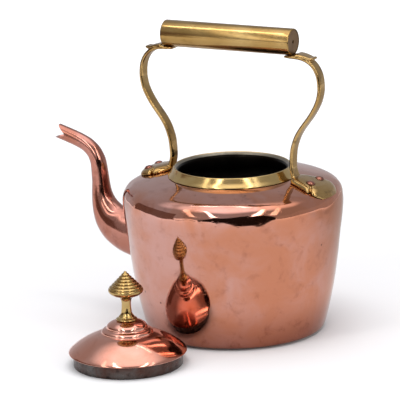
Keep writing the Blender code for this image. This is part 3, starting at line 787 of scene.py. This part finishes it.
def plate_rings(side, half):
    """Rings of the crowned foot plate, from its flat underside to its top."""
    outline = flowing([(x, -y) for x, y in half[:7]], 3)[:-1]
    outline += flowing([(x, -y) for x, y in half[6:]], 3)
    outline += [(x, -y) for x, y in reversed(outline[1:-1])]
    notch = half[6][0]

    def ring(share, level):
        points = []
        for x, y in outline:
            px = (PLATE_CENTRE + (x - PLATE_CENTRE) * share) * side + CASTING_SHIFT
            valley = VALLEY * share ** 4 * math.exp(-((x - notch) / VALLEY_WIDE) ** 2)
            height = shoulder(math.hypot(px, y * share)) + GAP + level - valley
            height = max(height, PLATE_FLOOR)
            points.append(Vector((px, y * share, height)))
        return points

    tops = [ring(share, level) for share, level in CROWN]
    return [[Vector((p.x, p.y, PLATE_FLOOR)) for p in tops[0]]] + tops


def rivet_place(side, row):
    """Matrix of a foot plate rivet, its Z axis square to the shoulder."""
    radius, reach = math.hypot(RIVET_X, RIVET_Y), 0.002
    slope = (shoulder(radius + reach) - shoulder(radius - reach)) / (2 * reach)
    spot = Vector((RIVET_X * side + CASTING_SHIFT, RIVET_Y * row, shoulder(radius)))
    return Matrix.Translation(spot) @ Matrix.Rotation(-math.atan(slope) * side, 4, "Y")


def join(piece, *others):
    """Add the meshes of the others to the piece's own, and remove them."""
    bm = bmesh.new()
    for part in (piece, *others):
        bm.from_mesh(part.data)
    bm.to_mesh(piece.data)
    bm.free()
    for other in others:
        bpy.data.objects.remove(other, do_unlink=True)


def rod(radius, low, high, place=None, steps=48):
    """A plain cylinder along Z, for cutting."""
    return turned("cutter", [(0, low), (radius, low), (radius, high), (0, high)],
                  steps=steps, place=place)


eased = outline_object([          # a flat bar's section with rounded edges
    (math.copysign(abs(math.cos(a)) ** 0.35, math.cos(a)),
     math.copysign(abs(math.sin(a)) ** 0.75, math.sin(a)))
    for a in (2 * math.pi * (k + 0.5) / 32 for k in range(32))])
GRIP_SEAT = (GRIP_Z - GRIP_RADIUS) - 0.0019     # height of the rivet's seat under the grip
GRIP_HOLE, GRIP_SINK = 0.0019, 0.0036           # radii of that rivet's hole and hollow
grip_places = [Matrix.Translation(((GRIP_HALF - 0.0048) * side, 0, 0)) for side in (-1, 1)]
room = [(0, 0.12)] + [(r, z) for r, z in offset(body_line, -GAP) if z > 0.125]
room += [(0, 0.1584)]       # the body with a gap round it, for cutting
CUT_PAST = 0.01             # how far a cutter runs past what it cuts
for side, word, under in zip((-1, 1), ("left", "right"), grip_places):
    name = f"handle_casting_{word}"
    bar = [(x * side + CASTING_SHIFT, z, w / 2, t / 2) for x, z, w, t in flowing(BAR, 3)]
    leaf = [(x * side + CASTING_SHIFT, z, w / 2, t / 2) for x, z, w, t in flowing(LEAF, 3)]
    casting = swept(name, bar, eased, cast_brass)
    plate = loft("plate", plate_rings(side, PLATE_EDGE[word]), cast_brass)
    cut(plate, turned("cutter", room, steps=TURNS))
    join(casting, swept("leaf", leaf, eased, cast_brass), plate)
    # One body with the casting's fillets: remesh at 0.6 mm, then smooth
    melt = casting.modifiers.new("melt", "REMESH")
    melt.mode, melt.voxel_size = "VOXEL", 0.0006
    ease = casting.modifiers.new("ease", "SMOOTH")
    ease.factor, ease.iterations = 0.5, 5
    apply_all(casting)
    tools = [turned("cutter", room, steps=TURNS), rod(
        GRIP_RADIUS + GAP, -GRIP_HALF - GAP, GRIP_HALF + GAP, grip_turn, 96)]
    for row in (-1, 1):
        place = rivet_place(side, row)
        tools.append(rod(SHANK + GAP, -0.004, 0.012, place))
        tools.append(rod(HEAD + HEAD_PLAY, SEAT, 0.012, place))
    tools.append(rod(GRIP_HOLE, GRIP_SEAT - CUT_PAST, GRIP_SEAT + CUT_PAST, under))
    tools.append(rod(GRIP_SINK, GRIP_SEAT - CUT_PAST, GRIP_SEAT, under))
    cut(casting, *tools)
    crisp(casting, 50)
    casting.data.materials.clear()
    casting.data.materials.append(cast_brass)
    fitted(casting, "kettle", "brass", f"handle_upright_{word}")
bpy.data.objects.remove(eased, do_unlink=True)


# --- Rivets -------------------------------------------------------------------
# Copper rivets hold the foot plates to the body, closed over washers inside it. One
# more under each end of the grip holds the tube to its seat.

# Hammered copper, left dull and brown
rivet_copper = worn_metal("hammered_rivet_copper", ("A4705F", "8A5344", "4A2C24"),
                          (0.18, 0.34), grain=0.0, scratch=0.3, stain=0.6)


def rivet_tree():
    """Geometry Nodes that set a rivet on each point, leaning as the point says."""
    tree, given = open_tree("rivets_on_points", Points="Geometry", Rivet="Object",
                            Material="Material")
    shape = add(tree, "GeometryNodeObjectInfo", inputs={
        "Object": given["Rivet"], "As Instance": True})
    lean = add(tree, "GeometryNodeInputNamedAttribute", {"data_type": "FLOAT_VECTOR"},
               {"Name": "lean"})
    turn = add(tree, "FunctionNodeEulerToRotation", inputs={0: lean.outputs["Attribute"]})
    driven = add(tree, "GeometryNodeInstanceOnPoints", inputs={
        "Points": given["Points"], "Instance": shape.outputs["Geometry"],
        "Rotation": turn.outputs[0]})
    return close_tree(tree, driven.outputs[0], given["Material"])


def riveted(name, profile, places, material):
    """The same turned rivet at each place, as one mesh."""
    pattern = turned("pattern", profile, steps=40, sharp=50)
    mesh = bpy.data.meshes.new(name)
    mesh.from_pydata([place.translation for place in places], [], [])
    store = mesh.attributes.new("lean", "FLOAT_VECTOR", "POINT")
    store.data.foreach_set("vector", [a for place in places for a in place.to_euler()])
    made = placed(name, mesh)
    run_tree(made, riveting, Rivet=pattern, Material=material)
    bpy.data.objects.remove(pattern, do_unlink=True)
    crisp(made, 50)
    return made


riveting = rivet_tree()
plate_places = [rivet_place(side, row) for side in (-1, 1) for row in (-1, 1)]
plate_names = [f"{word}_{row}" for word in ("left", "right") for row in ("front", "rear")]
WASHER = 0.0010             # thickness of a washer
washer_z = -SHEET - 0.0006  # height of its upper face
head_z = SEAT + GAP
tail_z = washer_z - WASHER - GAP
dome = [(HEAD * math.cos(a), head_z + 0.0004 + 0.0024 * math.sin(a))
        for a in (math.pi / 2 * k / 8 for k in range(9))]
plate_rivet = [(0, tail_z - 0.0016), (0.0016, tail_z - 0.0015), (0.0032, tail_z - 0.0010),
               (0.0036, tail_z), (SHANK, tail_z), (SHANK, head_z), (HEAD - 0.0003, head_z)]
plate_rivet += dome[:-1] + [(0, dome[-1][1])]
rivets = riveted("plate_rivets", plate_rivet, plate_places, rivet_copper)
fitted(rivets, "kettle", "rivet_copper", *[f"lug_rivet_{name}" for name in plate_names])

washer = [(SHANK + GAP, washer_z), (0.0050, washer_z), (0.0052, washer_z - 0.0002),
          (0.0052, washer_z - 0.0008), (0.0050, washer_z - WASHER),
          (SHANK + GAP, washer_z - WASHER)]
washers = riveted("plate_washers", washer, plate_places, rivet_copper)
fitted(washers, "kettle", "rivet_copper", *[f"lug_washer_{name}" for name in plate_names])

closed = grip_low.z + 0.0016            # where the shank is closed over, in the tube
grip_shank = GRIP_HOLE - GAP
grip_rivet = [(0, GRIP_SEAT - 0.0014), (0.0012, GRIP_SEAT - 0.00135),
              (0.0022, GRIP_SEAT - 0.0011), (0.0030, GRIP_SEAT - 0.0007),
              (GRIP_SINK - GAP, GRIP_SEAT - GAP), (grip_shank, GRIP_SEAT - GAP),
              (grip_shank, closed), (0.0025, closed), (0.0021, closed + 0.0008),
              (0, closed + 0.0011)]
grip_rivets = riveted("grip_rivets", grip_rivet, grip_places, rivet_copper)
fitted(grip_rivets, "kettle", "rivet_copper", "grip_rivet_left", "grip_rivet_right")


# --- Grip ---------------------------------------------------------------------
# A drawn brass tube, polished along its length by hands. Two discs with a vent hole
# are soldered into its ends.

# Drawn tube, softly lined by hands; its ends are browner and duller
tube_brass = worn_metal("drawn_tube_brass", ("B0935F", "9A7740", "5B4223"), (0.16, 0.28),
                        grain=0.06, scratch=0.2, stain=0.55)
cap_brass = worn_metal("grip_end_brass", ("86694A", "6E5334", "3A2A1A"), (0.30, 0.42),
                       grain=0.0, scratch=0.2, stain=0.6)
TUBE_WALL = 0.0010
EDGE = 0.0009               # radius of the tube's rounded ends
arc = [math.pi / 2 * k / 4 for k in range(5)]
tube_profile = [(GRIP_RADIUS - EDGE + EDGE * math.cos(a), GRIP_HALF - EDGE + EDGE * math.sin(a))
                for a in arc]
tube_profile += [(GRIP_RADIUS - TUBE_WALL, GRIP_HALF), (GRIP_RADIUS - TUBE_WALL, -GRIP_HALF)]
tube_profile += [(GRIP_RADIUS - EDGE + EDGE * math.sin(a), EDGE * (1 - math.cos(a)) - GRIP_HALF)
                 for a in arc]
grip = turned("grip", tube_profile, tube_brass, steps=96, place=grip_turn)
for place in grip_places:
    cut(grip, rod(GRIP_HOLE, grip_low.z - 0.002, grip_low.z + 0.006, place))
crisp(grip, 40)
fitted(grip, "kettle", "brass", "grip_tube")

CAP_RADIUS = GRIP_RADIUS - TUBE_WALL - GAP
CAP_WALL = 0.0015
VENT = 0.0016               # radius of the vent hole
outer_end = GRIP_HALF - 0.0003
inner_end = outer_end - CAP_WALL
for side, word in ((-1, "left"), (1, "right")):
    disc = turned(f"grip_end_{word}", [
        (VENT + 0.0003, outer_end - 0.0001), (0.006, outer_end), (CAP_RADIUS - 0.0004, outer_end),
        (CAP_RADIUS, outer_end - 0.0004), (CAP_RADIUS, inner_end),
        (VENT, inner_end), (VENT, outer_end - 0.0004)], cap_brass, steps=96)
    if side < 0:
        disc.data.transform(Matrix.Rotation(math.pi, 4, "X"))
    disc.data.transform(grip_turn)
    fitted(disc, "kettle", "brass", f"grip_cap_{word}")


# --- Lid dome -----------------------------------------------------------------
# A copper dome spun with two steps for its knob, soldered to a tinned rim that fits
# the collar's throat. The lid lies beside the kettle, on its rim.

rim_low, rim_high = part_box("lid_rim")
LID_X, LID_Y = (rim_low.x + rim_high.x) / 2, (rim_low.y + rim_high.y) / 2
RIM_RADIUS = (rim_high.x - rim_low.x) / 2
on_lid = Matrix.Translation((LID_X, LID_Y, 0))
# The same copper as the body, but newly polished
lid_copper = worn_metal("lid_copper", ("D6A08F", "C98872", "884D3B"), (0.06, 0.16),
                        grain=0.05, scratch=0.08, stain=0.25, centre=(LID_X, LID_Y, 0))
lid_outside = [(0.0568, 0.0125), (0.0574, 0.0128), (0.0577, 0.0134)] + flowing([
    (0.0574, 0.0142), (0.0557, 0.0160), (0.0520, 0.0190), (0.0460, 0.0231),
    (0.0380, 0.0274), (0.0310, 0.0303), (0.0266, 0.0316), (0.0251, 0.0323),
    (0.0249, 0.0337), (0.0236, 0.0352), (0.0214, 0.0360), (0.0200, 0.0369),
    (0.0197, 0.0386), (0.0186, 0.0403), (0.0155, 0.0424), (0.0120, 0.0437),
    (0.0080, 0.0443), (0.0029, 0.0443)], 4)
lid_inside = [(0.0029, 0.0432)] + flowing([
    (0.0080, 0.0432), (0.0115, 0.0426), (0.0150, 0.0412), (0.0175, 0.0393),
    (0.0185, 0.0370), (0.0205, 0.0351), (0.0231, 0.0336), (0.0239, 0.0314),
    (0.0300, 0.0292), (0.0370, 0.0263), (0.0450, 0.0221), (0.0510, 0.0180),
    (0.0546, 0.0150), (0.0560, 0.0129)], 4)
lid = turned("lid_cover", lid_outside + lid_inside, lid_copper, tin_in_painted_shade, steps=160,
             place=on_lid, inner_from=len(lid_outside))
LID_WAVE = 0.00012          # a spun sheet is never quite even
BOSS_RADIUS, BRIM_RADIUS = 0.027, 0.0577
for vert in lid.data.vertices:
    away = math.hypot(vert.co.x - LID_X, vert.co.y - LID_Y)
    if away > BOSS_RADIUS:
        fading = min(1, (BRIM_RADIUS - away) / 0.004)
        vert.co.z += LID_WAVE * noise.noise(vert.co * 45.0) * fading
fitted(lid, "lid", "copper", "lid_dome")


# --- Lid rim ------------------------------------------------------------------
# A hoop of copper sheet, tinned and soldered under the dome. The tin is grey and
# matt, and worn through to the brown copper in patches.

tin = worn_metal("worn_tin", ("5E5B59", "4A2C23", "0C0B0A"), (0.24, 0.45), grain=0.4,
                 scratch=0.4, stain=1.0, centre=(LID_X, LID_Y, 0), fine=1.9)
RIM_WALL = 0.0009
rim = turned("lid_skirt", [
    (RIM_RADIUS - RIM_WALL, 0.0001), (RIM_RADIUS - 0.0005, 0), (RIM_RADIUS - 0.0001, 0.0003),
    (RIM_RADIUS, 0.0007), (RIM_RADIUS, 0.0150), (RIM_RADIUS - RIM_WALL, 0.0158)], tin,
    steps=160, place=on_lid)
fitted(rim, "lid", "tinned_copper", "lid_rim")


# --- Knob ---------------------------------------------------------------------
# Turned from one brass bar: a stepped base, a waisted stem and a cone with ridges that
# narrow towards its tip. Its shank goes through the dome and is closed over a washer.

# Bright brass, the least worn of all
knob_brass = worn_metal("turned_brass_bright", ("BBA06C", "A38249", "5A4225"), (0.07, 0.18),
                        grain=0.0, scratch=0.1, stain=0.35, centre=(LID_X, LID_Y, 0))
RIDGES = 6
CONE_LOW, CONE_TOP = 0.0764, 0.0916
CONE_WIDE, CONE_NARROW = 0.0163, 0.0018
knob_profile = [(0, 0.0402), (0.0034, 0.0404), (0.0044, 0.0409), (0.0044, 0.0414),
                (0.0026, 0.0414), (0.0026, 0.0446)]
knob_profile += flowing([
    (0.0099, 0.0446), (0.0104, 0.0453), (0.0100, 0.0462), (0.0086, 0.0468), (0.0078, 0.0473),
    (0.0078, 0.0481), (0.0066, 0.0494), (0.0054, 0.0515), (0.0049, 0.0550),
    (0.0046, 0.0584), (0.0046, 0.0622), (0.0053, 0.0652), (0.0070, 0.0674),
    (0.0105, 0.0688), (0.0145, 0.0707), (0.0168, 0.0731), (0.0172, 0.0748),
    (0.0168, 0.0759)], 3)
BULGE = ((0.0, -0.0007), (0.12, -0.0001), (0.3, 0.0005), (0.55, 0.0007), (0.8, 0.0003))
step = (CONE_TOP - CONE_LOW) / RIDGES
for ridge in range(RIDGES):
    here = CONE_WIDE + (CONE_NARROW - CONE_WIDE) * ridge / RIDGES
    next_out = CONE_WIDE + (CONE_NARROW - CONE_WIDE) * (ridge + 1) / RIDGES
    low = CONE_LOW + step * ridge
    for share, bulge in BULGE:          # share of the ridge's height, and how far it stands out
        knob_profile.append((here + (next_out - here) * share + bulge, low + step * share))
knob_profile += [(0.0017, CONE_TOP), (0.0016, CONE_TOP + 0.0008), (0.0010, CONE_TOP + 0.0015),
                 (0, CONE_TOP + 0.0018)]
knob = turned("knob", knob_profile, knob_brass, steps=96, place=on_lid, sharp=60)
fitted(knob, "lid", "brass", "lid_knob")

washer_top, washer_low = 0.0428, 0.0418
under_knob = turned("knob_washer", [
    (0.0029, washer_top), (0.0068, washer_top), (0.0070, washer_top - 0.0002),
    (0.0070, washer_low + 0.0002), (0.0068, washer_low), (0.0029, washer_low)],
    cap_brass, steps=64, place=on_lid)
fitted(under_knob, "lid", "brass", "lid_washer")
